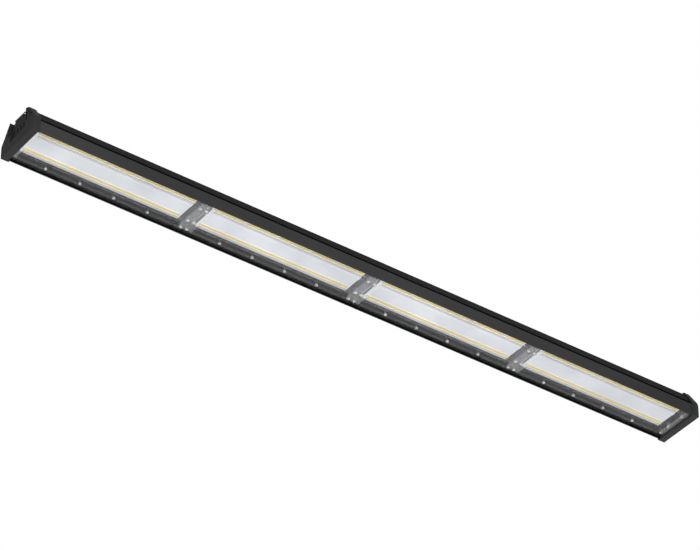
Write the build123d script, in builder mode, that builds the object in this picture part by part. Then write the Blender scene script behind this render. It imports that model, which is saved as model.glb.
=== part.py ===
from build123d import *
import os

os.makedirs("parts", exist_ok=True)

# Linear high-bay luminaire, millimetres. X runs along the fixture, Z is up and the light leaves downwards.
# The origin is on the floor plane under the middle of the fixture, level with the end caps' undersides.

# Modules
module_count = 4
module_pitch = 296.6
cover_gap = 0.5

# Extruded body
body_half_width = 40.3
body_bottom_z = 1.0
skirt_wall = 1.5
web_z = 18.5
web_thickness = 2.5
bend_z = 23.4
groove_height = 1.8
groove_depth = 1.2
shoulder_half_width = 27.5
deck_z = 45.2
deck_thickness = 3.0
slope_wall = 2.0
body_corner = 0.5
deck_groove_width = 2.4
deck_groove_depth = 1.1
deck_groove_pitch = 5.2
deck_grooves_per_side = 4

# End caps
cap_wall = 6.8
cap_sleeve = 6.2
cap_half_width = 42.0
cap_side_z = 25.9
cap_skirt = 0.8
cap_clearance = 0.2
cap_lip_reach = 11.0
cap_lip_z = 4.6
cap_round = 4.0
horn_outer_y = 26.0
horn_inner_y = 20.5
horn_top_z = 50.0
horn_reach = 14.0
panel_recess = 3.2
panel_wall = 1.3
panel_low_z = 15.0
tab_half_width = 13.3
tab_corner = 2.6
vent_low_z = 23.0
vent_height = 9.0
vent_offsets_y = (4.1, 12.0, 17.3)
vent_widths = (3.2, 2.6, 2.2)
channel_y = 23.5
channel_width = 3.2
channel_low_z = 27.0
channel_height = 15.5
channel_depth = 3.6
flank_vent_y = (30.2, 35.2)
flank_vent_z = (33.0, 27.2)
flank_vent_size = 2.4
flank_vent_height = 7.0
flank_wall = 2.0

# Cable entry in the right-hand cap
entry_z = 27.5
entry_radius = 5.6
grommet_flange_radius = 7.6
grommet_flange = 1.8
grommet_inner_radius = 6.2
grommet_inner_flange = 1.3
cable_radius = 3.6
ring_sides = 12

# Hanging brackets
sheet = 1.2
bracket_half_width = 13.3
bracket_top_z = 50.6
bracket_end_inset = 3.0
bracket_span = 28.0
bracket_foot = 12.0
bracket_bend = 1.0
bracket_tab_gap = 0.7
slot_margin = 1.3
slot_length = 17.0
foot_screw_y = 7.5
foot_screw_inset = 6.5

# Lens covers
cover_half_width = 38.5
cover_face_z = 5.0
cover_plate = 2.0
rim_wall = 1.5
rim_end_margin = 14.2
board_clearance = 0.3
gasket_height = 1.4
screw_row_y = 35.1
screw_row_count = 6
screw_seam_inset = 5.1
end_screw_y = 16.4
boss_half = 3.4
sink_radius = 3.1
screw_seat_z = 10.0
lens_bar_width = 12.0
lens_bar_height = 2.2

# Fasteners
screw_clearance = 0.1
head_sides = 6
bore_sides = 4
cover_screw_radius = 1.5
cover_screw_head_radius = 2.8
cover_screw_head = 1.8
cover_screw_grip = 2.0
small_screw_radius = 1.2
small_screw_head_radius = 2.1
small_screw_head = 1.5
screw_tip_gap = 0.4
cap_screw_sink = 0.4

# LED boards
board_half_width = 31.4
board_thickness = 1.6
led_row_y = 20.4
led_pitch = 3.61
led_end_margin = 3.5
led_length = 3.0
led_width = 5.7
led_height = 0.8

# Drivers and wiring in the closed chamber
driver_length = 330.0
driver_half_width = 21.0
driver_height = 15.0
driver_offset_x = 300.0
driver_flange = 12.0
driver_flange_thickness = 1.4
driver_edge = 1.5
terminal_x = 533.0
terminal_length = 30.0
terminal_half_width = 12.0
terminal_height = 12.0
terminal_ways = 3
lead_width = 5.2
lead_thickness = 2.8
lead_rise = 1.8
long_lead_y = 26.5
lead_exit_y = 6.0
lead_straight = 8.0
lead_step = 2.0
terminal_mouth_radius = 2.4
terminal_mouth_depth = 8.0
lead_turn_in = 26.0

half_body = module_count * module_pitch / 2
half_length = half_body + cap_wall
web_top_z = web_z + web_thickness
chamber_top_z = deck_z - deck_thickness
groove_low_z = bend_z - groove_height
panel_x = half_length - panel_recess
bracket_end = half_length - bracket_end_inset
horn_middle_y = (horn_outer_y + horn_inner_y) / 2
cover_inner_z = cover_face_z + cover_plate
rim_top_z = web_z - gasket_height
cover_length = module_pitch - cover_gap
board_face_z = web_z - board_thickness
rim_inner_y = board_half_width + board_clearance
rim_inner_x = module_pitch / 2 - rim_end_margin
board_length = 2 * (rim_inner_x - board_clearance)
leds_per_row = int((board_length - 2 * led_end_margin) / led_pitch) + 1
screw_span = module_pitch - 2 * screw_seam_inset
module_centres = [(k - (module_count - 1) / 2) * module_pitch for k in range(module_count)]
row_points = [
    ((i / (screw_row_count - 1) - 0.5) * screw_span, side * screw_row_y)
    for i in range(screw_row_count)
    for side in (-1, 1)
]
end_points = [(end * screw_span / 2, side * end_screw_y) for end in (-1, 1) for side in (-1, 1)]
screw_points = row_points + end_points


def slope_y(z):
    """Half-width of the body's sloping upper side at height z."""
    share = (z - bend_z) / (deck_z - bend_z)
    return body_half_width + share * (shoulder_half_width - body_half_width)


def save(piece, name):
    """Label a finished piece and write it to its own file."""
    piece.part.label = name
    export_step(piece.part, "parts/" + name + ".step")


# Body: one aluminium extrusion with a skirt below, a closed driver chamber and a grooved deck
with BuildPart() as body_extrusion:
    with BuildSketch(Plane.YZ.offset(-half_body)) as body_section:
        with BuildLine():
            Polyline(
                (0, body_bottom_z),
                (body_half_width, body_bottom_z),
                (body_half_width, groove_low_z),
                (body_half_width - groove_depth, groove_low_z),
                (body_half_width - groove_depth, bend_z),
                (body_half_width, bend_z),
                (shoulder_half_width, deck_z),
                (0, deck_z),
                close=True,
            )
        make_face()
        # space under the web for the optics
        with Locations((0, body_bottom_z)):
            Rectangle(
                body_half_width - skirt_wall,
                web_z - body_bottom_z,
                align=(Align.MIN, Align.MIN),
                mode=Mode.SUBTRACT,
            )
        # driver chamber
        with BuildLine():
            Polyline(
                (0, web_top_z),
                (slope_y(bend_z) - slope_wall - groove_depth, web_top_z),
                (slope_y(bend_z) - slope_wall - groove_depth, bend_z),
                (slope_y(chamber_top_z) - slope_wall, chamber_top_z),
                (0, chamber_top_z),
                close=True,
            )
        make_face(mode=Mode.SUBTRACT)
        # screw channel for the cover screws, and grooves in the deck
        with Locations((screw_row_y, web_z)):
            Rectangle(
                2 * (cover_screw_radius + screw_clearance),
                cover_screw_grip + screw_clearance,
                align=(Align.CENTER, Align.MIN),
                mode=Mode.SUBTRACT,
            )
        groove_line = [(deck_groove_pitch * (i + 0.5), deck_z) for i in range(deck_grooves_per_side)]
        with Locations(*groove_line):
            Rectangle(
                deck_groove_width,
                deck_groove_depth,
                align=(Align.CENTER, Align.MAX),
                mode=Mode.SUBTRACT,
            )
        mirror(about=Plane.YZ)
    extrude(amount=2 * half_body)
    shoulder = body_extrusion.edges().filter_by(Axis.X).group_by(Axis.Z)[-1]
    chamfer(shoulder.sort_by(Axis.Y)[0:1] + shoulder.sort_by(Axis.Y)[-1:], body_corner)
    # holes for the covers' inner end screws
    hole_points = [(x + px, py) for x in module_centres for px, py in end_points]
    with BuildSketch(Plane.XY.offset(web_z)):
        with Locations(*hole_points):
            RegularPolygon(cover_screw_radius + screw_clearance, bore_sides)
    extrude(amount=cover_screw_grip + screw_clearance, mode=Mode.SUBTRACT)
    # holes in the web's top for the drivers' screws
    driver_screw_offset = driver_length / 2 + driver_flange / 2
    driver_screw_xs = [centre + end * driver_screw_offset for centre in (-driver_offset_x, driver_offset_x)
                       for end in (-1, 1)]
    with BuildSketch(Plane.XY.offset(web_top_z)):
        with Locations(*[(x, 0) for x in driver_screw_xs]):
            RegularPolygon(small_screw_radius + screw_clearance, bore_sides)
    extrude(amount=-(web_thickness - screw_tip_gap), mode=Mode.SUBTRACT)
    # holes for the cap screws and for the brackets' foot screws
    cap_hole_x = half_length - horn_reach / 2 - cap_wall / 2
    foot_hole_x = bracket_end - bracket_span - foot_screw_inset
    top_holes = [(end * cap_hole_x, side * horn_middle_y) for end in (-1, 1) for side in (-1, 1)]
    top_holes += [(end * foot_hole_x, side * foot_screw_y) for end in (-1, 1) for side in (-1, 1)]
    with BuildSketch(Plane.XY.offset(deck_z)):
        with Locations(*top_holes):
            RegularPolygon(small_screw_radius + screw_clearance, bore_sides)
    extrude(amount=-deck_thickness, mode=Mode.SUBTRACT)
save(body_extrusion, "body_extrusion")

# End caps: moulded shells over the ends of the body, with a sunk vent panel between two horns
for end, side_name in ((-1, "left"), (1, "right")):
    inward = Plane(origin=(end * half_length, 0, 0), x_dir=(0, -end, 0), z_dir=(-end, 0, 0))
    with BuildPart() as end_cap:
        with BuildSketch(inward):
            with BuildLine():
                Polyline(
                    (0, 0),
                    (cap_half_width, 0),
                    (cap_half_width, cap_side_z),
                    (horn_outer_y, horn_top_z),
                    (horn_inner_y, horn_top_z),
                    (horn_inner_y, deck_z),
                    (0, deck_z),
                    close=True,
                )
            make_face()
            mirror(about=Plane.YZ)
        extrude(amount=cap_wall + cap_sleeve)
        end_face = end_cap.faces().filter_by(Axis.X).sort_by(Axis.X)[0 if end < 0 else -1]
        slopes = end_face.edges().filter_by(lambda e: 0.2 < abs((e @ 1 - e @ 0).Y) / e.length < 0.95)
        fillet(slopes, cap_round)
        # room for the body's end, open at the deck between the horns
        with BuildSketch(inward.offset(cap_wall)):
            with BuildLine():
                Polyline(
                    (0, cap_skirt),
                    (body_half_width + cap_clearance, cap_skirt),
                    (body_half_width + cap_clearance, bend_z + cap_clearance),
                    (shoulder_half_width + cap_clearance, deck_z + cap_clearance),
                    (0, deck_z + cap_clearance),
                    close=True,
                )
            make_face()
            mirror(about=Plane.YZ)
        extrude(amount=cap_sleeve, mode=Mode.SUBTRACT)
        # lip under the lens covers
        with BuildSketch(inward.offset(cap_wall)):
            Rectangle(2 * (body_half_width - skirt_wall - cap_clearance), cap_lip_z,
                      align=(Align.CENTER, Align.MIN))
        extrude(amount=cap_lip_reach - cap_wall)
        with BuildSketch(inward.offset(cap_lip_reach)):
            Rectangle(2 * (body_half_width - skirt_wall - cap_clearance), 2 * cap_lip_z)
        extrude(amount=cap_wall + cap_sleeve - cap_lip_reach, mode=Mode.SUBTRACT)
        # horns reach further in, over the deck
        with BuildSketch(inward.offset(cap_wall + cap_sleeve)):
            with Locations(*[(side * horn_middle_y, deck_z + cap_clearance) for side in (-1, 1)]):
                Rectangle(horn_outer_y - horn_inner_y, horn_top_z - deck_z - cap_clearance,
                          align=(Align.CENTER, Align.MIN))
        extrude(amount=horn_reach - cap_wall - cap_sleeve)
        # sunk panel, with a hollow behind it and behind each flank
        with BuildSketch(inward):
            with Locations((0, panel_low_z)):
                Rectangle(2 * horn_inner_y, deck_z, align=(Align.CENTER, Align.MIN))
        extrude(amount=panel_recess, mode=Mode.SUBTRACT)
        with BuildSketch(inward.offset(panel_recess + panel_wall)):
            with Locations((0, web_top_z)):
                Rectangle(2 * horn_inner_y, chamber_top_z - web_top_z, align=(Align.CENTER, Align.MIN))
        extrude(amount=cap_wall - panel_recess - panel_wall, mode=Mode.SUBTRACT)
        # tab on the panel's upper edge, just short of the hanging bracket
        tab_top_z = bracket_top_z - sheet - bracket_tab_gap
        with BuildSketch(inward.offset(panel_recess)):
            with BuildLine():
                Polyline(
                    (0, deck_z),
                    (tab_half_width, deck_z),
                    (tab_half_width, tab_top_z - tab_corner),
                    (tab_half_width - tab_corner, tab_top_z),
                    (0, tab_top_z),
                    close=True,
                )
            make_face()
            mirror(about=Plane.YZ)
        extrude(amount=panel_wall)
        with BuildSketch(inward.offset(flank_wall)):
            with BuildLine():
                Polyline(
                    (horn_outer_y, web_top_z),
                    (slope_y(bend_z) - slope_wall - groove_depth, web_top_z),
                    (slope_y(bend_z) - slope_wall - groove_depth, bend_z),
                    (horn_outer_y, chamber_top_z),
                    close=True,
                )
            make_face()
            mirror(about=Plane.YZ)
        extrude(amount=cap_wall - flank_wall, mode=Mode.SUBTRACT)
        with BuildSketch(inward.offset(flank_wall)):
            with Locations((0, cover_face_z + flank_wall)):
                Rectangle(2 * rim_inner_y, board_face_z - cover_face_z - 2 * flank_wall,
                          align=(Align.CENTER, Align.MIN))
        extrude(amount=cap_wall - flank_wall, mode=Mode.SUBTRACT)
        # vents: through the panel and through the flanks
        with BuildSketch(inward):
            for offset_y, width in zip(vent_offsets_y, vent_widths):
                if end > 0 and offset_y < entry_radius:
                    continue
                with Locations(*[(side * offset_y, vent_low_z) for side in (-1, 1)]):
                    Rectangle(width, vent_height, align=(Align.CENTER, Align.MIN))
            for offset_y, low_z in zip(flank_vent_y, flank_vent_z):
                with Locations(*[(side * offset_y, low_z) for side in (-1, 1)]):
                    Rectangle(flank_vent_size, flank_vent_height, align=(Align.CENTER, Align.MIN))
        extrude(amount=cap_wall, mode=Mode.SUBTRACT)
        # tall blind channels up the horns
        with BuildSketch(inward):
            with Locations(*[(side * channel_y, channel_low_z) for side in (-1, 1)]):
                Rectangle(channel_width, channel_height, align=(Align.CENTER, Align.MIN))
        extrude(amount=channel_depth, mode=Mode.SUBTRACT)
        if end > 0:
            with BuildSketch(inward):
                with Locations((0, entry_z)):
                    RegularPolygon(entry_radius, ring_sides)
            extrude(amount=cap_wall, mode=Mode.SUBTRACT)
        # screw holes down through the horns
        cap_screw_points = [(end * cap_hole_x, side * horn_middle_y) for side in (-1, 1)]
        with BuildSketch(Plane.XY.offset(horn_top_z)):
            with Locations(*cap_screw_points):
                RegularPolygon(small_screw_head_radius + screw_clearance, head_sides)
        extrude(amount=-(small_screw_head + cap_screw_sink), mode=Mode.SUBTRACT)
        with BuildSketch(Plane.XY.offset(horn_top_z)):
            with Locations(*cap_screw_points):
                RegularPolygon(small_screw_radius + screw_clearance, bore_sides)
        extrude(amount=-(horn_top_z - deck_z), mode=Mode.SUBTRACT)
    save(end_cap, "end_cap_" + side_name)

    # Cap screws: small round heads sunk in the horns, threaded into the deck
    with BuildPart() as cap_screws:
        cap_seat_z = horn_top_z - small_screw_head - cap_screw_sink
        with BuildSketch(Plane.XY.offset(cap_seat_z)):
            with Locations(*cap_screw_points):
                RegularPolygon(small_screw_head_radius, head_sides)
        extrude(amount=small_screw_head)
        with BuildSketch(Plane.XY.offset(cap_seat_z)):
            with Locations(*cap_screw_points):
                RegularPolygon(small_screw_radius, bore_sides)
        extrude(amount=-(cap_seat_z - chamber_top_z - screw_tip_gap))
    save(cap_screws, "cap_screws_" + side_name)

    # Hanging bracket: a stepped strip of sheet steel, its foot on the deck and its slotted end over the cap
    back_x = end * (bracket_end - bracket_span)
    foot_points = [(end * foot_hole_x, side * foot_screw_y) for side in (-1, 1)]
    with BuildPart() as hanging_bracket:
        with BuildSketch(Plane.XZ.offset(-bracket_half_width)):
            with BuildLine():
                FilletPolyline(
                    (end * bracket_end, bracket_top_z - sheet / 2),
                    (back_x, bracket_top_z - sheet / 2),
                    (back_x, deck_z + sheet / 2),
                    (back_x - end * bracket_foot, deck_z + sheet / 2),
                    radius=bracket_bend + sheet / 2,
                )
            trace(line_width=sheet)
        extrude(amount=2 * bracket_half_width)
        # slot for the hook or wire
        with BuildSketch(Plane.XY.offset(bracket_top_z)):
            with Locations((end * (bracket_end - slot_margin - slot_length / 2), 0)):
                Rectangle(slot_length, 2 * (bracket_half_width - slot_margin))
        extrude(amount=-sheet, mode=Mode.SUBTRACT)
        with BuildSketch(Plane.XY.offset(deck_z + sheet)):
            with Locations(*foot_points):
                RegularPolygon(small_screw_radius + screw_clearance, bore_sides)
        extrude(amount=-sheet, mode=Mode.SUBTRACT)
    save(hanging_bracket, "hanging_bracket_" + side_name)

    # Bracket screws: two through the foot into the deck
    with BuildPart() as bracket_screws:
        with BuildSketch(Plane.XY.offset(deck_z + sheet)):
            with Locations(*foot_points):
                RegularPolygon(small_screw_head_radius, head_sides)
        extrude(amount=small_screw_head)
        with BuildSketch(Plane.XY.offset(deck_z + sheet)):
            with Locations(*foot_points):
                RegularPolygon(small_screw_radius, bore_sides)
        extrude(amount=-(sheet + deck_thickness - screw_tip_gap))
    save(bracket_screws, "bracket_screws_" + side_name)

# Grommet: rubber ring in the right-hand cap, for the mains cable
entry_plane = Plane(origin=(panel_x, 0, entry_z), x_dir=(0, 1, 0), z_dir=(1, 0, 0))
with BuildPart() as cable_grommet:
    with BuildSketch(entry_plane):
        RegularPolygon(grommet_flange_radius, ring_sides)
    extrude(amount=grommet_flange)
    with BuildSketch(entry_plane):
        RegularPolygon(entry_radius - screw_clearance, ring_sides)
    extrude(amount=-panel_wall)
    with BuildSketch(entry_plane.offset(-panel_wall)):
        RegularPolygon(grommet_inner_radius, ring_sides)
    extrude(amount=-grommet_inner_flange)
    with BuildSketch(entry_plane.offset(grommet_flange)):
        Circle(cable_radius)
    extrude(amount=-(grommet_flange + panel_wall + grommet_inner_flange), mode=Mode.SUBTRACT)
save(cable_grommet, "cable_grommet")

# Lens modules: cover, gasket, board, LEDs and screws, the same four times
for number, module_x in enumerate(module_centres, start=1):
    with BuildPart() as lens_cover:
        with BuildSketch(Plane.XY.offset(cover_face_z)):
            with Locations((module_x, 0)):
                Rectangle(cover_length, 2 * cover_half_width)
        extrude(amount=cover_plate)
        # rim round the board
        with BuildSketch(Plane.XY.offset(cover_inner_z)):
            with Locations((module_x, 0)):
                Rectangle(2 * (rim_inner_x + rim_wall), 2 * (rim_inner_y + rim_wall))
                Rectangle(2 * rim_inner_x, 2 * rim_inner_y, mode=Mode.SUBTRACT)
        extrude(amount=rim_top_z - cover_inner_z)
        # square screw bosses, as high as the rim
        with BuildSketch(Plane.XY.offset(cover_inner_z)):
            with Locations(*[(module_x + px, py) for px, py in screw_points]):
                Rectangle(2 * boss_half, 2 * boss_half)
        extrude(amount=rim_top_z - cover_inner_z)
        with BuildSketch(Plane.XY.offset(cover_face_z)):
            with Locations(*[(module_x + px, py) for px, py in screw_points]):
                RegularPolygon(sink_radius, bore_sides)
        extrude(amount=screw_seat_z - cover_face_z, mode=Mode.SUBTRACT)
        with BuildSketch(Plane.XY.offset(screw_seat_z)):
            with Locations(*[(module_x + px, py) for px, py in screw_points]):
                RegularPolygon(cover_screw_radius + screw_clearance, bore_sides)
        extrude(amount=rim_top_z - screw_seat_z, mode=Mode.SUBTRACT)
        # a shallow lens bar over each row of LEDs
        with BuildSketch(Plane.YZ.offset(module_x - board_length / 2)):
            for side in (-1, 1):
                with BuildLine():
                    foot_a = (side * led_row_y - lens_bar_width / 2, cover_inner_z)
                    foot_b = (side * led_row_y + lens_bar_width / 2, cover_inner_z)
                    ThreePointArc(foot_a, (side * led_row_y, cover_inner_z + lens_bar_height), foot_b)
                    Line(foot_b, foot_a)
                make_face()
        extrude(amount=board_length)
    save(lens_cover, "lens_cover_" + str(number))

    # Gasket: silicone cord squeezed between the cover's rim and the web
    with BuildPart() as lens_gasket:
        with BuildSketch(Plane.XY.offset(rim_top_z)):
            with Locations((module_x, 0)):
                Rectangle(2 * (rim_inner_x + rim_wall), 2 * (rim_inner_y + rim_wall))
                Rectangle(2 * rim_inner_x, 2 * rim_inner_y, mode=Mode.SUBTRACT)
        extrude(amount=gasket_height)
    save(lens_gasket, "lens_gasket_" + str(number))

    # Board: white-coated aluminium plate flat against the web
    with BuildPart() as led_board:
        with BuildSketch(Plane.XY.offset(board_face_z)):
            with Locations((module_x, 0)):
                Rectangle(board_length, 2 * board_half_width)
        extrude(amount=board_thickness)
    save(led_board, "led_board_" + str(number))

    # LEDs: two rows of surface-mounted packages on the board's face
    with BuildPart() as led_chips:
        with BuildSketch(Plane.XY.offset(board_face_z)):
            with Locations((module_x, 0)):
                with GridLocations(led_pitch, 2 * led_row_y, leds_per_row, 2):
                    Rectangle(led_length, led_width)
        extrude(amount=-led_height)
    save(led_chips, "led_chips_" + str(number))

    # Cover screws: sunk in the bosses, gripping the web
    with BuildPart() as cover_screws:
        with BuildSketch(Plane.XY.offset(screw_seat_z)):
            with Locations(*[(module_x + px, py) for px, py in screw_points]):
                RegularPolygon(cover_screw_head_radius, bore_sides)
        extrude(amount=-cover_screw_head)
        with BuildSketch(Plane.XY.offset(screw_seat_z)):
            with Locations(*[(module_x + px, py) for px, py in screw_points]):
                RegularPolygon(cover_screw_radius, bore_sides)
        extrude(amount=web_z + cover_screw_grip - screw_seat_z)
    save(cover_screws, "cover_screws_" + str(number))

# Drivers: two constant-current supplies in metal cases on the web
for name, driver_x in (("led_driver_left", -driver_offset_x), ("led_driver_right", driver_offset_x)):
    with BuildPart() as led_driver:
        with BuildSketch(Plane.XY.offset(web_top_z)):
            with Locations((driver_x, 0)):
                Rectangle(driver_length, 2 * driver_half_width)
        extrude(amount=driver_height)
        chamfer(led_driver.edges().filter_by(Axis.X).group_by(Axis.Z)[-1], driver_edge)
        with BuildSketch(Plane.XY.offset(web_top_z)):
            with Locations((driver_x, 0)):
                Rectangle(driver_length + 2 * driver_flange, driver_half_width)
        extrude(amount=driver_flange_thickness)
        with BuildSketch(Plane.XY.offset(web_top_z)):
            with Locations((driver_x - driver_screw_offset, 0), (driver_x + driver_screw_offset, 0)):
                RegularPolygon(small_screw_radius + screw_clearance, bore_sides)
        extrude(amount=driver_flange_thickness, mode=Mode.SUBTRACT)
    save(led_driver, name)

# Driver screws: one through each flange into the web
with BuildPart() as driver_screws:
    with BuildSketch(Plane.XY.offset(web_top_z + driver_flange_thickness)):
        with Locations(*[(x, 0) for x in driver_screw_xs]):
            RegularPolygon(small_screw_head_radius, head_sides)
    extrude(amount=small_screw_head)
    with BuildSketch(Plane.XY.offset(web_top_z + driver_flange_thickness)):
        with Locations(*[(x, 0) for x in driver_screw_xs]):
            RegularPolygon(small_screw_radius, bore_sides)
    extrude(amount=-(driver_flange_thickness + web_thickness - 2 * screw_tip_gap))
save(driver_screws, "driver_screws")

# Terminal block: where the mains cable ends and the drivers' leads start
with BuildPart() as terminal_block:
    with BuildSketch(Plane.XY.offset(web_top_z)):
        with Locations((terminal_x, 0)):
            Rectangle(terminal_length, 2 * terminal_half_width)
    extrude(amount=terminal_height)
    with BuildSketch(Plane.YZ.offset(terminal_x + terminal_length / 2)):
        with Locations((0, web_top_z + terminal_height / 2)):
            with GridLocations(2 * terminal_half_width / terminal_ways, 0, terminal_ways, 1):
                RegularPolygon(terminal_mouth_radius, bore_sides)
    extrude(amount=-terminal_mouth_depth, mode=Mode.SUBTRACT)
save(terminal_block, "terminal_block")

# Driver leads: flat twin leads, from the terminal block along the chamber to each driver
lead_z = web_top_z + lead_thickness / 2 + lead_rise
lead_start_x = terminal_x - terminal_length / 2
right_driver_end = driver_offset_x + driver_length / 2
left_driver_end = -driver_offset_x + driver_length / 2
with BuildPart() as driver_lead_right:
    with BuildSketch(Plane.YZ.offset(right_driver_end)):
        with Locations((-lead_exit_y, lead_z + lead_step)):
            Rectangle(lead_width, lead_thickness)
    extrude(amount=lead_start_x - right_driver_end)
save(driver_lead_right, "driver_lead_right")
with BuildPart() as driver_lead_left:
    with BuildLine() as lead_route:
        Polyline(
            (lead_start_x, lead_exit_y, lead_z),
            (lead_start_x - lead_straight, lead_exit_y, lead_z),
            (lead_start_x - lead_turn_in, long_lead_y, lead_z),
            (left_driver_end + lead_turn_in, long_lead_y, lead_z),
            (left_driver_end + lead_straight, lead_exit_y, lead_z),
            (left_driver_end, lead_exit_y, lead_z),
        )
    with BuildSketch(Plane(origin=lead_route.line @ 0, x_dir=(0, 1, 0), z_dir=lead_route.line % 0)):
        Rectangle(lead_width, lead_thickness)
    sweep(transition=Transition.RIGHT)
save(driver_lead_left, "driver_lead_left")
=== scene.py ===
import math
import random

import bmesh
import bpy
from mathutils import Matrix, Vector


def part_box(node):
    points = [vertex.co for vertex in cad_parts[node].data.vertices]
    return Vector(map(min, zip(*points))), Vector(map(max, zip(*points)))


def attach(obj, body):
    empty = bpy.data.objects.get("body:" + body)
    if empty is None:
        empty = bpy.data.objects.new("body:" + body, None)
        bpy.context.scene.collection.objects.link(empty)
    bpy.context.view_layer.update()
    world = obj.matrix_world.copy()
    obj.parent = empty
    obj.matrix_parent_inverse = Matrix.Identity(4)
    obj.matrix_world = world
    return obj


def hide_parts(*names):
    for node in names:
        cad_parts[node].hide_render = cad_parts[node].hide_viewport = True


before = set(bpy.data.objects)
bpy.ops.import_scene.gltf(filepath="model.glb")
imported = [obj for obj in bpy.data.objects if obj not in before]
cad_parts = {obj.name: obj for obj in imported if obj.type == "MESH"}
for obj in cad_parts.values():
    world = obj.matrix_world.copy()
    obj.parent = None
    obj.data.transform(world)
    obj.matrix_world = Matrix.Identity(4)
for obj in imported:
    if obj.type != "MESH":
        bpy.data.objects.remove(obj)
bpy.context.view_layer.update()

scene = bpy.context.scene

# Camera: the photograph looks up at the fixture from below, from in front and from the left,
# through a long lens, so its long edges stay almost parallel.
camera_heading = math.radians(35.637)
camera_climb = math.radians(37.092)
camera_distance = 5.8518
camera_lens = 205.23
camera_sensor = 36.0
camera_aside = 0.02173
camera_above = -0.02722
camera_reach = 100.0
sight = Vector((
    math.sin(camera_heading) * math.cos(camera_climb),
    math.cos(camera_heading) * math.cos(camera_climb),
    math.sin(camera_climb),
))
across = Vector((math.cos(camera_heading), -math.sin(camera_heading), 0.0))
upward = across.cross(sight)
camera_data = bpy.data.cameras.new("camera")
camera_data.lens = camera_lens
camera_data.sensor_width = camera_sensor
camera_data.clip_end = camera_reach
camera = bpy.data.objects.new("camera", camera_data)
scene.collection.objects.link(camera)
camera_place = -camera_distance * sight - camera_aside * across - camera_above * upward
camera.matrix_world = Matrix.Translation(camera_place) @ Matrix((
    (across.x, upward.x, -sight.x, 0.0),
    (across.y, upward.y, -sight.y, 0.0),
    (across.z, upward.z, -sight.z, 0.0),
    (0.0, 0.0, 0.0, 1.0),
))
scene.camera = camera
scene.view_settings.view_transform = "Standard"

# Stage: a white studio. The pale floor lies far below, because the fixture hangs and is seen from
# underneath. World and floor are white to the eye, in reflections and through clear pieces, and
# light the object evenly at a lower level.
floor_drop = 14.0
floor_size = 60.0
floor_colour = (0.62, 0.62, 0.62, 1.0)
floor_roughness = 0.9
studio_fill = 0.27
studio_white = 1.0


def material(name):
    """A new material, with its node tree and shader."""
    made = bpy.data.materials.new(name)
    made.use_nodes = True
    return made, made.node_tree, made.node_tree.nodes["Principled BSDF"]


def reckon(tree, operation, *terms):
    """One step of arithmetic on sockets and plain numbers."""
    made = tree.nodes.new("ShaderNodeMath")
    made.operation = operation
    for socket, term in zip(made.inputs, terms):
        if isinstance(term, float):
            socket.default_value = term
        else:
            tree.links.new(term, socket)
    return made.outputs[0]


def fade(tree, source, start, end, low, high, hold=True):
    """A number from low to high as source goes from start to end. It stops there if hold is set."""
    reach = tree.nodes.new("ShaderNodeMapRange")
    reach.clamp = hold
    reach.inputs["From Min"].default_value = start
    reach.inputs["From Max"].default_value = end
    reach.inputs["To Min"].default_value = low
    reach.inputs["To Max"].default_value = high
    tree.links.new(source, reach.inputs["Value"])
    return reach.outputs["Result"]


def seen_directly(tree):
    """One for rays from the camera, from gloss and through glass, and zero for light on surfaces."""
    path = tree.nodes.new("ShaderNodeLightPath")
    first = reckon(tree, "MAXIMUM", path.outputs["Is Camera Ray"], path.outputs["Is Glossy Ray"])
    return reckon(tree, "MAXIMUM", first, path.outputs["Is Transmission Ray"])


def switch_surface(tree, where, usual, other):
    """Shade the surface with usual, and with other where the mark is one."""
    either = tree.nodes.new("ShaderNodeMixShader")
    tree.links.new(where, either.inputs["Fac"])
    tree.links.new(usual, either.inputs[1])
    tree.links.new(other, either.inputs[2])
    tree.links.new(either.outputs["Shader"], tree.nodes["Material Output"].inputs["Surface"])


def placed(bm, name):
    """An object in the scene with the bmesh's shape."""
    mesh = bpy.data.meshes.new(name)
    bm.to_mesh(mesh)
    bm.free()
    item = bpy.data.objects.new(name, mesh)
    scene.collection.objects.link(item)
    return item


world = bpy.data.worlds.new("studio")
scene.world = world
world.use_nodes = True
tree = world.node_tree
background = tree.nodes["Background"]
background.inputs["Color"].default_value = (1.0, 1.0, 1.0, 1.0)
level = fade(tree, seen_directly(tree), 0.0, 1.0, studio_fill, studio_white)
tree.links.new(level, background.inputs["Strength"])

floor_paint, tree, shader = material("floor_paint")
shader.inputs["Base Color"].default_value = floor_colour
shader.inputs["Roughness"].default_value = floor_roughness
glow = tree.nodes.new("ShaderNodeEmission")
glow.inputs["Strength"].default_value = studio_white
switch_surface(tree, seen_directly(tree), shader.outputs["BSDF"], glow.outputs["Emission"])
bm = bmesh.new()
bmesh.ops.create_grid(bm, x_segments=1, y_segments=1, size=floor_size / 2)
bmesh.ops.translate(bm, vec=(0.0, 0.0, -floor_drop), verts=bm.verts)
floor = placed(bm, "floor")
floor.data.materials.append(floor_paint)


# Lamps: three large soft squares. The key lamp stands below and in front, on the camera's side, one
# is high up behind the fixture, and a weak one is under its right half.
def lamp(name, place, target, size, watts):
    """A soft square lamp at place, turned to target."""
    data = bpy.data.lights.new(name, "AREA")
    data.size = size
    data.energy = watts
    item = bpy.data.objects.new(name, data)
    item.location = place
    item.rotation_euler = (Vector(target) - Vector(place)).to_track_quat("-Z", "Y").to_euler()
    scene.collection.objects.link(item)


lamp("key_lamp", place=(-1.1, -2.2, -1.9), target=(-0.3, 0.0, 0.0), size=1.4, watts=80.0)
lamp("top_lamp", place=(0.4, 2.5, 1.9), target=(0.0, 0.0, 0.0), size=1.6, watts=150.0)
lamp("under_lamp", place=(1.2, 0.3, -2.4), target=(0.5, 0.0, 0.0), size=1.4, watts=26.0)

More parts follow.
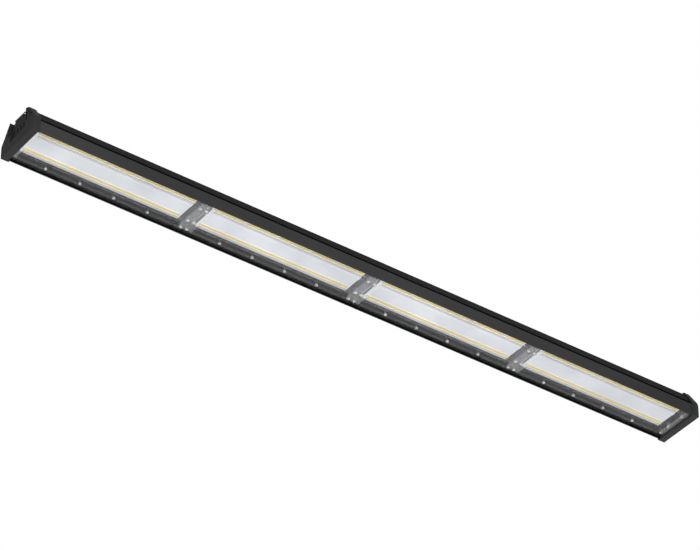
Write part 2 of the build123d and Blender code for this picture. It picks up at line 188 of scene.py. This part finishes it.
# Body: one extruded length of aluminium, powder-coated matt black. The coat's fine orange-peel grain
# is stretched a little along the die. Painted shade makes it darkest in the grooves and inside the
# skirts, and darker on the slopes and deck than on the sides. Painted light makes it greyer on the web
# where it shows between two boards.
body_colour = (0.054, 0.054, 0.055)
body_stretch = (0.25, 1.0, 1.0)
groove_low = 0.0216
groove_high = 0.0234
groove_lip = 0.0009
body_side = 0.0403
skirt_inside = 0.0388
web_under = 0.0185
web_skin = 0.0003
sliver = 0.0001
painted_shade_share = 0.06
upper_painted_shade_share = 0.52
joint_pitch = 0.2966
joint_half_length = 0.0146
joint_painted_light_share = 2.7
inner_joints = 0.45
cloud_scale = 14.0
cloud_swing = 0.1
roughness_swing = 0.06


def noise(tree, scale, stretch=(1.0, 1.0, 1.0), detail=3.0):
    """Noise on object coordinates, in metres, stretched along the axes."""
    place = tree.nodes.new("ShaderNodeTexCoord")
    turn = tree.nodes.new("ShaderNodeMapping")
    turn.inputs["Scale"].default_value = stretch
    tree.links.new(place.outputs["Object"], turn.inputs["Vector"])
    made = tree.nodes.new("ShaderNodeTexNoise")
    made.inputs["Scale"].default_value = scale
    made.inputs["Detail"].default_value = detail
    tree.links.new(turn.outputs["Vector"], made.inputs["Vector"])
    return made.outputs["Fac"]


def vary(tree, source, low, high, socket, start=0.35, end=0.65):
    """A colour that moves from low to high as source moves from start to end."""
    ramp = tree.nodes.new("ShaderNodeValToRGB")
    ramp.color_ramp.elements[0].position = start
    ramp.color_ramp.elements[1].position = end
    ramp.color_ramp.elements[0].color = (*low, 1.0)
    ramp.color_ramp.elements[1].color = (*high, 1.0)
    tree.links.new(source, ramp.inputs["Fac"])
    tree.links.new(ramp.outputs["Color"], socket)


def spread(tree, source, low, high, socket):
    """A number that moves between low and high with source, and on past high."""
    tree.links.new(fade(tree, source, 0.0, 1.0, low, high, hold=False), socket)


def bump(tree, source, depth, socket):
    """Relief of the given depth in metres."""
    relief = tree.nodes.new("ShaderNodeBump")
    relief.inputs["Distance"].default_value = depth
    tree.links.new(source, relief.inputs["Height"])
    tree.links.new(relief.outputs["Normal"], socket)


def coat(name, colour, roughness, grain, depth, gloss=0.5, stretch=(1.0, 1.0, 1.0)):
    """A coat with a clouded colour and a fine grain."""
    made, tree, shader = material(name)
    shader.inputs["Specular IOR Level"].default_value = gloss
    cloud = noise(tree, cloud_scale, stretch)
    speck = noise(tree, grain, stretch)
    low = tuple(c * (1 - cloud_swing) for c in colour)
    high = tuple(c * (1 + cloud_swing) for c in colour)
    vary(tree, cloud, low, high, shader.inputs["Base Color"])
    spread(tree, speck, roughness - roughness_swing, roughness + roughness_swing,
           shader.inputs["Roughness"])
    bump(tree, speck, depth, shader.inputs["Normal"])
    return made


def own_axes(tree):
    """The object's own x, y and z, in metres."""
    place = tree.nodes.new("ShaderNodeTexCoord")
    axes = tree.nodes.new("ShaderNodeSeparateXYZ")
    tree.links.new(place.outputs["Object"], axes.inputs["Vector"])
    return axes.outputs["X"], axes.outputs["Y"], axes.outputs["Z"]


def all_of(tree, mark, *others):
    """One where every mark is one."""
    for other in others:
        mark = reckon(tree, "MULTIPLY", mark, other)
    return mark


def shade(tree, where, share):
    """Multiply the base colour by share at the places marked with one."""
    made = tree.nodes.new("ShaderNodeMix")
    made.data_type = "RGBA"
    made.blend_type = "MULTIPLY"
    base = tree.nodes["Principled BSDF"].inputs["Base Color"]
    colour_in, share_in = [s for s in made.inputs if s.type == "RGBA"]
    colour_out, = [s for s in made.outputs if s.type == "RGBA"]
    tree.links.new(where, made.inputs["Factor"])
    tree.links.new(base.links[0].from_socket, colour_in)
    share_in.default_value = (share, share, share, 1.0)
    tree.links.new(colour_out, base)


def dress(node, finish):
    """Give a CAD node one material all over."""
    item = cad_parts[node]
    item.data.materials.clear()
    item.data.materials.append(finish)


body_coat = coat("body_coat", body_colour, roughness=0.7, grain=1400.0, depth=0.000008, gloss=0.01,
                 stretch=body_stretch)
tree = body_coat.node_tree
x, y, z = own_axes(tree)
aside = reckon(tree, "ABSOLUTE", y)
above = reckon(tree, "GREATER_THAN", z, groove_low - groove_lip)
below = reckon(tree, "LESS_THAN", z, groove_high + groove_lip)
sunk = reckon(tree, "LESS_THAN", aside, body_side + sliver)
groove = all_of(tree, above, below, sunk)
within = reckon(tree, "LESS_THAN", aside, skirt_inside + sliver)
beneath = reckon(tree, "LESS_THAN", z, web_under + sliver)
inside = all_of(tree, within, beneath)
ceiling = reckon(tree, "GREATER_THAN", z, web_under - web_skin)
from_joint = reckon(tree, "PINGPONG", x, joint_pitch / 2)
between = reckon(tree, "LESS_THAN", from_joint, joint_half_length)
joint = all_of(tree, inside, ceiling, between)
# Painted shade: the grooves and the inside of the skirts, beneath the web, are darkened.
painted_shade_mask = reckon(tree, "MAXIMUM", groove, reckon(tree, "SUBTRACT", inside, joint))
shade(tree, painted_shade_mask, painted_shade_share)
# Painted light: the web is lightened where it shows between two boards, away from the ends.
not_at_ends = reckon(tree, "LESS_THAN", reckon(tree, "ABSOLUTE", x), inner_joints)
shade(tree, all_of(tree, joint, not_at_ends), joint_painted_light_share)
# Painted shade: everything above the groove, slopes and deck, is darkened.
shade(tree, reckon(tree, "GREATER_THAN", z, groove_high), upper_painted_shade_share)
dress("body_extrusion", body_coat)

# End caps: injection-moulded black plastic with a fine spark texture. They are pushed over the
# body's two ends and held by screws down through their horns. Painted shade darkens them towards the
# top.
cap_colour = (0.038, 0.038, 0.039)
horn_low = 0.020
horn_high = 0.044
horn_painted_shade_share = 0.5
cap_plastic = coat("cap_plastic", cap_colour, roughness=0.6, grain=2600.0, depth=0.000008, gloss=0.05)
tree = cap_plastic.node_tree
x, y, z = own_axes(tree)
# Painted shade: the caps grow darker with height, up to the level of the deck.
shade(tree, fade(tree, z, horn_low, horn_high, 0.0, 1.0), horn_painted_shade_share)
for side in ("left", "right"):
    dress("end_cap_" + side, cap_plastic)

# Hanging brackets: a stepped strip of sheet steel above each cap, with a hanging slot punched in it
# and a dark grey coat. Its foot is screwed to the deck.
bracket_colour = (0.06, 0.06, 0.062)
bracket_coat = coat("bracket_coat", bracket_colour, roughness=0.45, grain=900.0, depth=0.00002,
                    gloss=0.2)
for side in ("left", "right"):
    dress("hanging_bracket_" + side, bracket_coat)

# Black screws: blackened steel. The ones in the horns hold the caps, and two in each foot hold the
# brackets to the deck.
black_colour = (0.03, 0.03, 0.032)
screw_black = coat("screw_black", black_colour, roughness=0.35, grain=3000.0, depth=0.00001, gloss=0.3)
for side in ("left", "right"):
    dress("cap_screws_" + side, screw_black)
    dress("bracket_screws_" + side, screw_black)

# Boards: aluminium plates with a white solder mask, flat against the web under each cover. Painted
# shade makes their long borders beyond the LEDs greyer and the outermost margin beside the rim dark.
board_colour = (0.765, 0.775, 0.805)
border_half_width = 0.0262
border_painted_shade_share = 0.72
margin_half_width = 0.0292
margin_painted_shade_share = 0.08
board_mask = coat("board_mask", board_colour, roughness=0.5, grain=600.0, depth=0.00001, gloss=0.3)
tree = board_mask.node_tree
x, y, z = own_axes(tree)
aside = reckon(tree, "ABSOLUTE", y)
# Painted shade: the long borders beyond the LEDs are greyed.
shade(tree, reckon(tree, "GREATER_THAN", aside, border_half_width), border_painted_shade_share)
# Painted shade: the outermost margin beside the cover's rim is made dark.
shade(tree, reckon(tree, "GREATER_THAN", aside, margin_half_width), margin_painted_shade_share)
for number in range(1, 5):
    dress("led_board_" + str(number), board_mask)

# LEDs: two rows of moulded packages soldered to each board. Each is a white frame round a slightly
# sunk window of yellow phosphor.
led_pitch = 0.00361
led_length = 0.0030
led_width = 0.0057
led_frame = 0.00045
led_dish = 0.0001
led_white = (0.88, 0.86, 0.77)
led_yellow = (0.84, 0.61, 0.09)
level_normal = 0.9
frame_white = coat("frame_white", led_white, roughness=0.4, grain=2000.0, depth=0.00001, gloss=0.4)
phosphor = coat("phosphor", led_yellow, roughness=0.5, grain=3000.0, depth=0.00002, gloss=0.4)
for number in range(1, 5):
    node = "led_chips_" + str(number)
    low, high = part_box(node)
    count = round((high[0] - low[0] - led_length) / led_pitch) + 1
    row_y = high[1] - led_width / 2
    size = Matrix.Diagonal((led_length, led_width, high[2] - low[2], 1.0))
    bm = bmesh.new()
    for row in (-row_y, row_y):
        for place in range(count):
            centre = (low[0] + led_length / 2 + place * led_pitch, row, (low[2] + high[2]) / 2)
            bmesh.ops.create_cube(bm, size=1.0, matrix=Matrix.Translation(centre) @ size)
    windows = [f for f in bm.faces if f.normal.z < -level_normal]
    bmesh.ops.inset_individual(bm, faces=windows, thickness=led_frame, depth=-led_dish)
    for f in windows:
        f.material_index = 1
    packages = placed(bm, "led_packages_" + str(number))
    packages.data.materials.append(frame_white)
    packages.data.materials.append(phosphor)
    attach(packages, "root")
    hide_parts(node)

# Gaskets: a ring of dark grey silicone cord for each cover, pressed between its rim and the web
# when the cover is screwed on.
gasket_colour = (0.07, 0.07, 0.072)
gasket_silicone = coat("gasket_silicone", gasket_colour, roughness=0.55, grain=900.0, depth=0.00001,
                       gloss=0.3)
for number in range(1, 5):
    dress("lens_gasket_" + str(number), gasket_silicone)

# Lens covers: clear polycarbonate, moulded in one with rim, screw bosses, lens bars and ribs, and
# screwed up to the web. The lands beside the seams are lightly frosted, the feet of rim and bars
# less so, and painted shade greys the lens bars towards their outer flanks and the rim's end walls.
cover_half_width = 0.0385
cover_face_z = 0.005
cover_inner_z = 0.007
rim_top_z = 0.0171
rim_outer_x = 0.1356
rim_outer_y = 0.0332
rim_wall = 0.0015
rim_corner = 0.0025
plate_corner = 0.0015
boss_radius = 0.0034
sink_radius = 0.0031
screw_seat_z = 0.010
shank_hole = 0.0016
bar_y = 0.0204
bar_half_width = 0.006
bar_height = 0.002
bar_end_x = 0.1338
rib_ys = (0.0348, 0.0374)
rib_half_width = 0.0004
rib_top_z = 0.0105
rib_end_gap = 0.002
screw_row_y = 0.0351
screw_end_y = 0.0164
screw_span = 0.2864
overlap = 0.0003
overcut = 0.001
smooth_up_to = math.radians(35)
cover_tint = (0.97, 0.975, 0.98)
bar_painted_shade_colour = (0.56, 0.56, 0.55)
cover_grain = 300.0
cover_smoothest = 0.01
cover_roughest = 0.05
clear_share = 0.992
frost_share = 0.91
foot_share = 0.15
end_wall_painted_shade_share = 0.62
land_length = joint_pitch / 2 - rim_outer_x
land_half_width = 0.0330
land_fade = 0.001
rim_foot_half_width = 0.0010
bar_foot_half_width = 0.0008
rim_end_half_width = 0.0008
rim_end_z = 0.0075
cover_clear, tree, shader = material("cover_clear")
shader.inputs["IOR"].default_value = 1.08
shader.inputs["Coat Weight"].default_value = 0.35
shader.inputs["Coat IOR"].default_value = 1.4
shader.inputs["Coat Roughness"].default_value = 0.03
x, y, z = own_axes(tree)
aside = reckon(tree, "ABSOLUTE", y)
from_seam = reckon(tree, "PINGPONG", x, joint_pitch / 2)
near_seam = fade(tree, from_seam, land_length - land_fade, land_length, 1.0, 0.0)
within = fade(tree, aside, land_half_width - land_fade, land_half_width, 1.0, 0.0)
frosted = reckon(tree, "MULTIPLY", near_seam, within)
rim_foot = reckon(tree, "COMPARE", aside, rim_outer_y - rim_wall / 2, rim_foot_half_width)
bar_foot = reckon(tree, "COMPARE", aside, bar_y + bar_half_width, bar_foot_half_width)
feet = reckon(tree, "MULTIPLY", reckon(tree, "MAXIMUM", rim_foot, bar_foot), foot_share)
end_wall = reckon(tree, "COMPARE", from_seam, land_length + rim_wall / 2, rim_end_half_width)
upright = all_of(tree, end_wall, reckon(tree, "GREATER_THAN", z, rim_end_z))
haze = reckon(tree, "MAXIMUM", reckon(tree, "MAXIMUM", frosted, feet), upright)
spread(tree, haze, clear_share, frost_share, shader.inputs["Transmission Weight"])
# Painted shade: the lens bars grow grey towards their outer flanks, and the rim's end walls are grey.
outward = fade(tree, aside, bar_y - bar_half_width, bar_y + bar_half_width, 0.0, 1.0)
on_bar = reckon(tree, "COMPARE", aside, bar_y, bar_half_width)
bar_top = all_of(tree, on_bar, reckon(tree, "GREATER_THAN", z, cover_inner_z + sliver / 2))
bar_painted_shade_mask = reckon(tree, "MULTIPLY", outward, bar_top)
end_wall_painted_shade_mask = reckon(tree, "MULTIPLY", upright, end_wall_painted_shade_share)
cover_painted_shade = reckon(tree, "MAXIMUM", bar_painted_shade_mask, end_wall_painted_shade_mask)
vary(tree, cover_painted_shade, cover_tint, bar_painted_shade_colour, shader.inputs["Base Color"])
spread(tree, noise(tree, cover_grain), cover_smoothest, cover_roughest, shader.inputs["Roughness"])
# Light for the boards and shadows passes a cover straight, as through thin clear plastic.
clear = tree.nodes.new("ShaderNodeBsdfTransparent")
clear.inputs["Color"].default_value = (*cover_tint, 1.0)
path = tree.nodes.new("ShaderNodeLightPath")
lighting = reckon(tree, "MAXIMUM", path.outputs["Is Shadow Ray"], path.outputs["Is Diffuse Ray"])
switch_surface(tree, lighting, shader.outputs["BSDF"], clear.outputs["BSDF"])


def lift(bm, faces, height, keep=False):
    """Extrude the faces by height, and keep the old ones where asked."""
    raised = bmesh.ops.extrude_face_region(bm, geom=faces, use_keep_orig=keep)
    verts = [v for v in raised["geom"] if isinstance(v, bmesh.types.BMVert)]
    bmesh.ops.translate(bm, vec=(0.0, 0.0, height), verts=verts)
    return verts


def solid(bm, name):
    """An object from a closed bmesh, with its faces turned outwards."""
    bmesh.ops.recalc_face_normals(bm, faces=bm.faces)
    return placed(bm, name)


def rounded_slab(half_x, half_y, corner, low_z, high_z, wall=None):
    """An upright slab with round corners, or a ring of it with the given wall."""
    bm = bmesh.new()
    bmesh.ops.create_grid(bm, x_segments=1, y_segments=1, size=1.0,
                          matrix=Matrix.Diagonal((half_x, half_y, 1.0, 1.0)))
    bmesh.ops.bevel(bm, geom=bm.verts[:], offset=corner, segments=5, profile=0.5,
                    affect="VERTICES", material=-1)
    if wall:
        bmesh.ops.inset_region(bm, faces=bm.faces[:], thickness=wall)
        middle = min(bm.faces, key=lambda f: f.calc_center_median().xy.length)
        bmesh.ops.delete(bm, geom=[middle], context="FACES_ONLY")
    bmesh.ops.translate(bm, vec=(0.0, 0.0, low_z), verts=bm.verts)
    lift(bm, bm.faces[:], high_z - low_z, keep=True)
    return bm


def round_bars(spots, radius, low_z, high_z):
    """Upright round bars at the given places."""
    bm = bmesh.new()
    for x, y in spots:
        bmesh.ops.create_cone(bm, cap_ends=True, segments=20, radius1=radius, radius2=radius,
                              depth=high_z - low_z,
                              matrix=Matrix.Translation((x, y, (low_z + high_z) / 2)))
    return bm


def join(base, bm, operation):
    """Add a bmesh's shape to the base, or cut it away."""
    tool = solid(bm, "tool")
    change = base.modifiers.new("change", "BOOLEAN")
    change.operation = operation
    change.solver = "EXACT"
    change.object = tool
    seen = bpy.context.evaluated_depsgraph_get()
    finished = bpy.data.meshes.new_from_object(base.evaluated_get(seen))
    base.modifiers.clear()
    worn = base.data
    base.data = finished
    bpy.data.meshes.remove(worn)
    spent = tool.data
    bpy.data.objects.remove(tool)
    bpy.data.meshes.remove(spent)


def screw_spots(middle, span):
    """Where a cover's screws stand: six along each side and two across each end."""
    rows = [(middle + (i / 5 - 0.5) * span, y) for i in range(6) for y in (-screw_row_y, screw_row_y)]
    ends = [(middle + end * span / 2, y) for end in (-1, 1) for y in (-screw_end_y, screw_end_y)]
    return rows + ends


low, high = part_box("lens_cover_1")
cover_half_length = (high[0] - low[0]) / 2
sunk_z = cover_inner_z - overlap
spots = screw_spots(0.0, screw_span)
plate = rounded_slab(cover_half_length, cover_half_width, plate_corner, cover_face_z, cover_inner_z)
moulding = solid(plate, "moulding")
join(moulding, rounded_slab(rim_outer_x, rim_outer_y, rim_corner, sunk_z, rim_top_z, rim_wall), "UNION")
join(moulding, round_bars(spots, boss_radius, sunk_z, rim_top_z), "UNION")
bars = bmesh.new()
lengthwise = Matrix.Rotation(math.pi / 2, 4, "Y")
flattened = Matrix.Diagonal((1.0, bar_half_width, bar_height, 1.0))
for side in (-1, 1):
    in_place = Matrix.Translation((0.0, side * bar_y, cover_inner_z))
    bmesh.ops.create_cone(bars, cap_ends=True, segments=36, radius1=1.0, radius2=1.0,
                          depth=2 * bar_end_x, matrix=in_place @ flattened @ lengthwise)
bmesh.ops.bisect_plane(bars, geom=bars.verts[:] + bars.edges[:] + bars.faces[:],
                       plane_no=(0.0, 0.0, 1.0), plane_co=(0.0, 0.0, sunk_z), clear_inner=True)
bmesh.ops.holes_fill(bars, edges=[e for e in bars.edges if e.is_boundary], sides=0)
join(moulding, bars, "UNION")
ribs = bmesh.new()
rib_middle_z = (sunk_z + rib_top_z) / 2
rib_length = 2 * (cover_half_length - rib_end_gap)
rib_size = Matrix.Diagonal((rib_length, 2 * rib_half_width, rib_top_z - sunk_z, 1.0))
for rib_y in rib_ys:
    for side in (-1, 1):
        in_place = Matrix.Translation((0.0, side * rib_y, rib_middle_z))
        bmesh.ops.create_cube(ribs, size=1.0, matrix=in_place @ rib_size)
join(moulding, ribs, "UNION")
join(moulding, round_bars(spots, sink_radius, cover_face_z - overcut, screw_seat_z), "DIFFERENCE")
join(moulding, round_bars(spots, shank_hole, screw_seat_z - overcut, rim_top_z + overcut), "DIFFERENCE")
for number in range(1, 5):
    node = "lens_cover_" + str(number)
    low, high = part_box(node)
    bm = bmesh.new()
    bm.from_mesh(moulding.data)
    bmesh.ops.translate(bm, vec=((low[0] + high[0]) / 2, 0.0, 0.0), verts=bm.verts)
    cover = solid(bm, "clear_lens_" + str(number))
    cover.data.shade_smooth()
    cover.data.set_sharp_from_angle(angle=smooth_up_to)
    cover.data.materials.append(cover_clear)
    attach(cover, "root")
    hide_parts(node)
bpy.data.objects.remove(moulding)

# Cover screws: zinc-plated steel with pan heads and a cross recess. Each is sunk in a boss of the
# cover and goes up into the web, and painted shade darkens its shank inside the boss.
head_radius = 0.0028
head_height = 0.0018
head_round = 0.0007
recess_radius = 0.0015
recess_half_width = 0.0004
recess_depth = 0.0009
shank_radius = 0.0015
shank_painted_shade_share = 0.3
zinc_low = (0.40, 0.40, 0.40)
zinc_high = (0.52, 0.52, 0.52)
zinc_grain = 900.0
zinc_smoothest = 0.25
zinc_roughest = 0.4
within_cross = 0.9
most_turned = 1.57
screw_zinc, tree, shader = material("screw_zinc")
shader.inputs["Metallic"].default_value = 1.0
shine = noise(tree, zinc_grain)
vary(tree, shine, zinc_low, zinc_high, shader.inputs["Base Color"])
spread(tree, shine, zinc_smoothest, zinc_roughest, shader.inputs["Roughness"])
x, y, z = own_axes(tree)
# Painted shade: the shank above the seat, inside the boss, is darkened.
shade(tree, reckon(tree, "GREATER_THAN", z, screw_seat_z), shank_painted_shade_share)


def crown_faces(head):
    """The level faces of a head's top that lie inside its recess."""
    return [f for f in head.faces if f.normal.z > level_normal
            and f.calc_center_median().xy.length < recess_radius]


def pan_screw(bm, seat, tip_z):
    """Add a round-headed screw, with its head below its seat and its shank up to tip_z."""
    head = bmesh.new()
    bmesh.ops.create_circle(head, cap_ends=True, radius=head_radius, segments=16)
    top = lift(head, head.faces[:], head_height)
    ring = [e for e in head.edges if all(v in top for v in e.verts)]
    bmesh.ops.bevel(head, geom=ring, offset=head_round, segments=3, profile=0.5,
                    affect="EDGES", material=-1)
    crown = max(head.faces, key=lambda f: f.calc_center_median().z)
    bmesh.ops.inset_individual(head, faces=[crown], thickness=head_radius - head_round - recess_radius)
    for axis in ((1.0, 0.0, 0.0), (0.0, 1.0, 0.0)):
        for side in (-1.0, 1.0):
            flat = crown_faces(head)
            parts = flat + list({e for f in flat for e in f.edges})
            parts += list({v for f in flat for v in f.verts})
            bmesh.ops.bisect_plane(head, geom=parts, plane_no=axis,
                                   plane_co=Vector(axis) * side * recess_half_width)
    cross = [f for f in crown_faces(head)
             if min(abs(c) for c in f.calc_center_median().xy) < recess_half_width * within_cross]
    lift(head, cross, -recess_depth)
    bmesh.ops.delete(head, geom=[f for f in cross if f.is_valid], context="FACES_ONLY")
    bmesh.ops.recalc_face_normals(head, faces=head.faces)
    shank = abs(tip_z - seat[2])
    bmesh.ops.create_cone(head, cap_ends=True, segments=12, radius1=shank_radius, radius2=shank_radius,
                          depth=shank, matrix=Matrix.Translation((0.0, 0.0, -shank / 2)))
    head_down = Matrix.Rotation(math.pi, 3, "X")
    turned = Matrix.Rotation(random.uniform(0, most_turned), 3, "Z")
    bmesh.ops.rotate(head, cent=(0.0, 0.0, 0.0), matrix=head_down, verts=head.verts)
    bmesh.ops.rotate(head, cent=(0.0, 0.0, 0.0), matrix=turned, verts=head.verts)
    bmesh.ops.translate(head, vec=seat, verts=head.verts)
    loose = bpy.data.meshes.new("loose_screw")
    head.to_mesh(loose)
    head.free()
    bm.from_mesh(loose)
    bpy.data.meshes.remove(loose)


random.seed(4)
for number in range(1, 5):
    node = "cover_screws_" + str(number)
    low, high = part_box(node)
    bm = bmesh.new()
    for x, y in screw_spots((low[0] + high[0]) / 2, high[0] - low[0] - 2 * head_radius):
        pan_screw(bm, (x, y, screw_seat_z), high[2])
    screws = placed(bm, "pan_screws_" + str(number))
    screws.data.materials.append(screw_zinc)
    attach(screws, "root")
    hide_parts(node)

# Inside the chamber above the web: two drivers in plain aluminium cases, screwed down by their
# flanges with the same zinc-plated steel, black leads to them from an off-white terminal block, and
# a black rubber grommet in the right-hand cap, where the mains cable comes in.
case_colour = (0.5, 0.5, 0.51)
sheath_colour = (0.03, 0.03, 0.03)
terminal_colour = (0.7, 0.7, 0.66)
driver_case = coat("driver_case", case_colour, roughness=0.45, grain=500.0, depth=0.00001)
lead_sheath = coat("lead_sheath", sheath_colour, roughness=0.55, grain=700.0, depth=0.00001, gloss=0.2)
terminal_plastic = coat("terminal_plastic", terminal_colour, roughness=0.5, grain=900.0, depth=0.00001)
for side in ("left", "right"):
    dress("led_driver_" + side, driver_case)
    dress("driver_lead_" + side, lead_sheath)
dress("driver_screws", screw_zinc)
dress("terminal_block", terminal_plastic)
dress("cable_grommet", lead_sheath)
